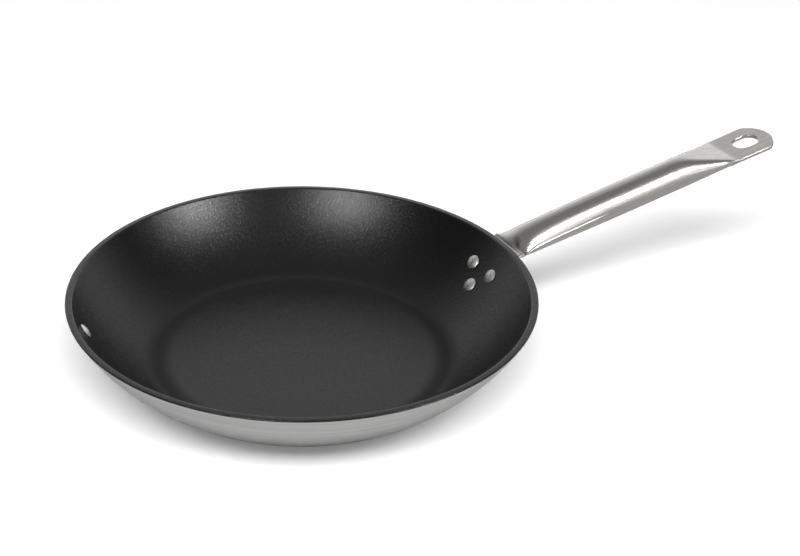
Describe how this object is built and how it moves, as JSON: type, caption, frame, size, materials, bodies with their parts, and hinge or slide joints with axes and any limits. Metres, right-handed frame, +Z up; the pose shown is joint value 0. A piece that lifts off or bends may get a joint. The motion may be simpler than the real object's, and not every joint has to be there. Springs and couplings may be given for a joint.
{
  "type": "omelette pan",
  "caption": "Shallow round frying pan with a black non-stick lining, a bowed silver wall and a riveted tubular steel handle ending in a flat tab with a hanging slot.",
  "frame": {"origin": "centre of the base's flat underside, on the pan's axis", "axes": "+Z up along the pan's axis, +X from the pan's centre towards the handle, +Y to the left of the handle seen from the pan's centre"},
  "size_m": [0.4795, 0.28, 0.0877],
  "materials": {
    "pan_metal": "satin, with fine turned rings on the base",
    "lining": "black non-stick coating with a fine pebbled grain",
    "handle_steel": "drawn stainless steel, polished on the tube and brushed on the tab",
    "rivet_metal": "hammered, slightly mottled"
  },
  "bodies": {
    "root": {"pan_body": "pan_metal", "nonstick_lining": "lining", "handle": "handle_steel", "handle_rivet_left": "rivet_metal", "handle_rivet_right": "rivet_metal", "handle_rivet_lower": "rivet_metal", "far_wall_rivet": "rivet_metal"}
  },
  "joints": []
}
